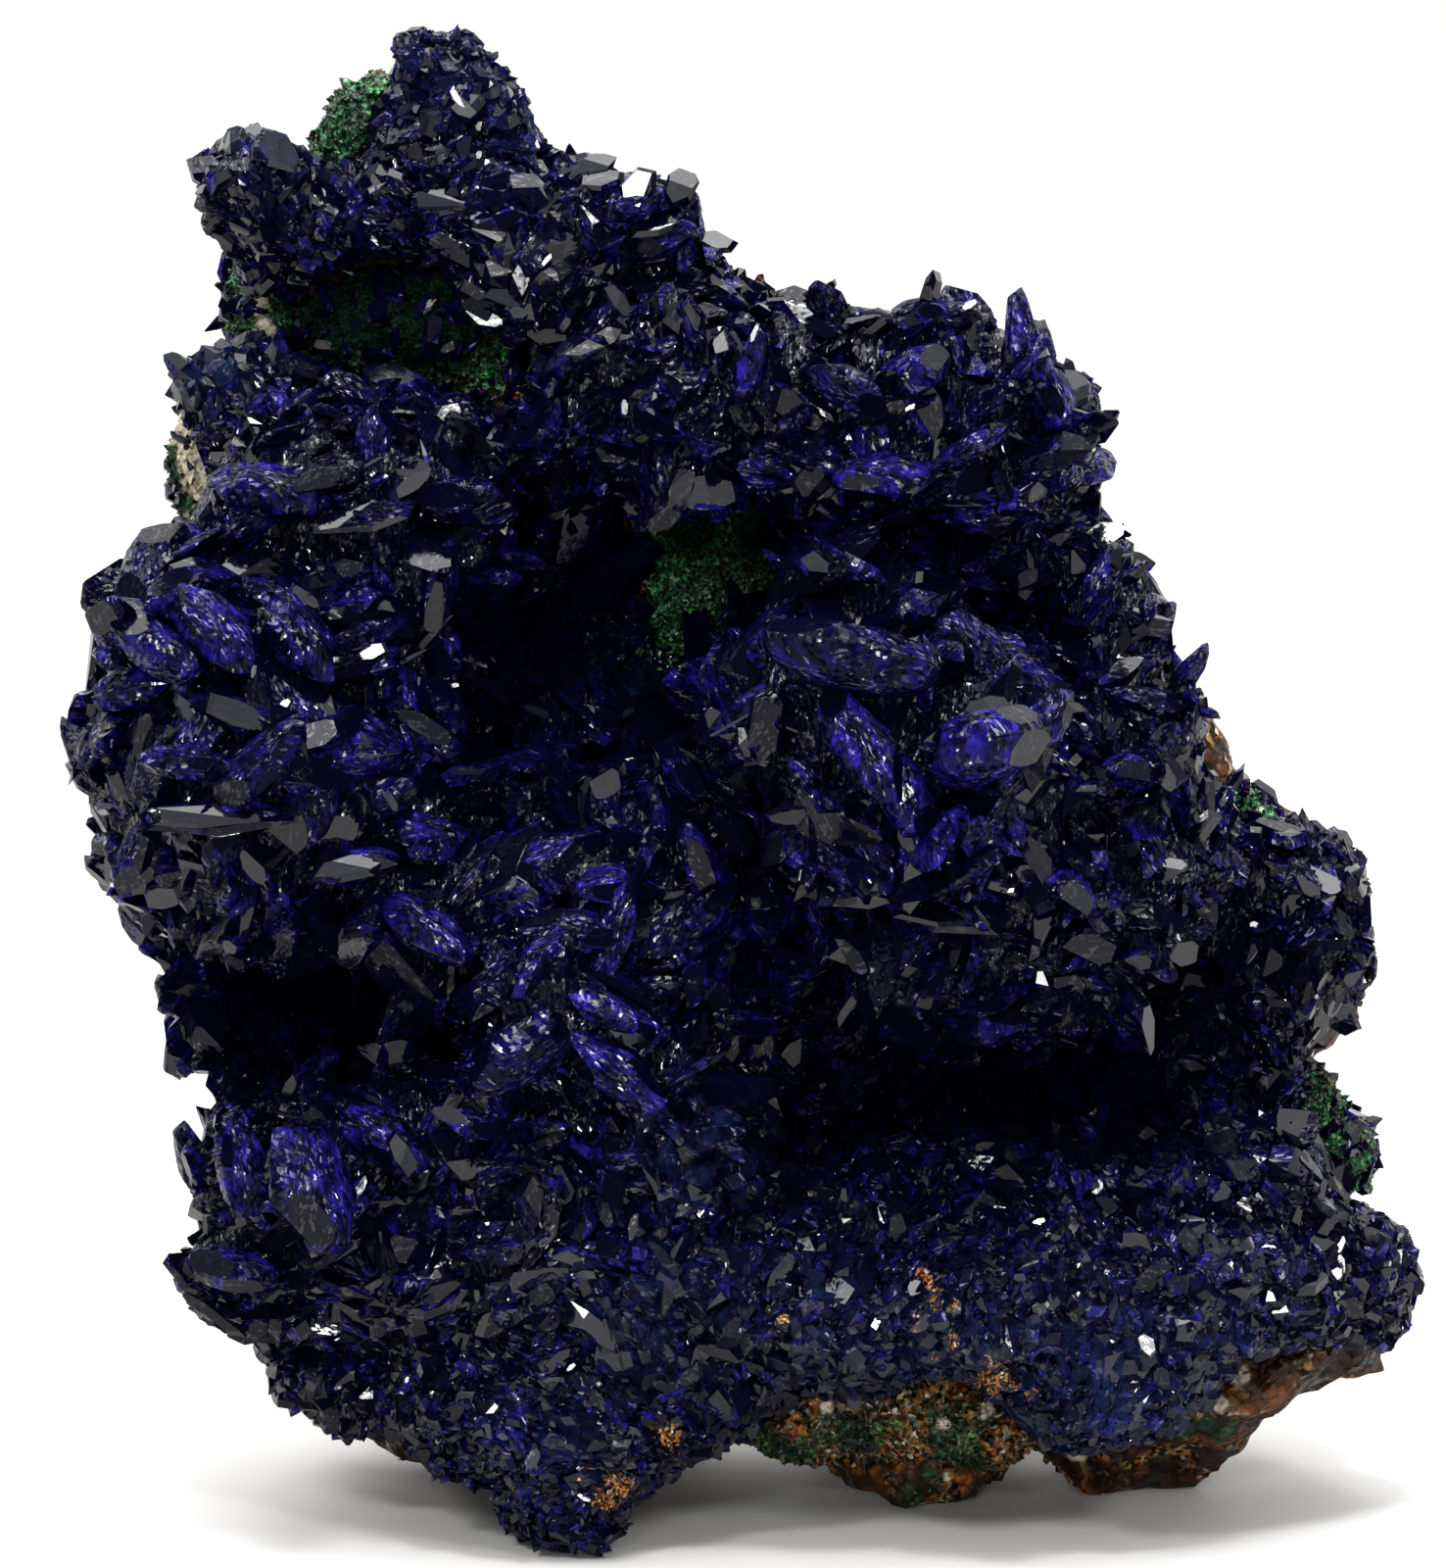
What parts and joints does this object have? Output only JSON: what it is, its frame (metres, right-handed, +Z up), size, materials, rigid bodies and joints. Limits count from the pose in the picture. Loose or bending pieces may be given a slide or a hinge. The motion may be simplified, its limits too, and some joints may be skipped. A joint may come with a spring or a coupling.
{
  "type": "azurite specimen",
  "caption": "Upright cluster of dark blue bladed azurite crystals over green malachite crusts on iron-stained rock, standing on its own uneven foot.",
  "frame": {"origin": "on the surface that the piece stands on, under the middle of its bounding box", "axes": "+Z up, -Y towards the crystal-covered front, +X to the right as seen from the front"},
  "size_m": [0.0687, 0.0446, 0.0748],
  "materials": {
    "azurite": "glassy crystal faces, nearly black to deep ultramarine",
    "malachite": "velvety green crust of fine grains",
    "limonite": "rough rusty iron-stained rock with ochre patches"
  },
  "bodies": {
    "root": {"matrix_rock": "limonite", "azurite_crystals": "azurite", "malachite_upper_hollow": "malachite", "malachite_peak_side": "malachite", "malachite_left_notch": "malachite", "malachite_left_edge": "malachite", "malachite_centre_hollow": "malachite", "malachite_right_notch": "malachite", "malachite_right_shoulder": "malachite", "malachite_right_edge": "malachite", "malachite_foot": "malachite", "malachite_back_upper": "malachite", "malachite_back_lower": "malachite"}
  },
  "joints": []
}
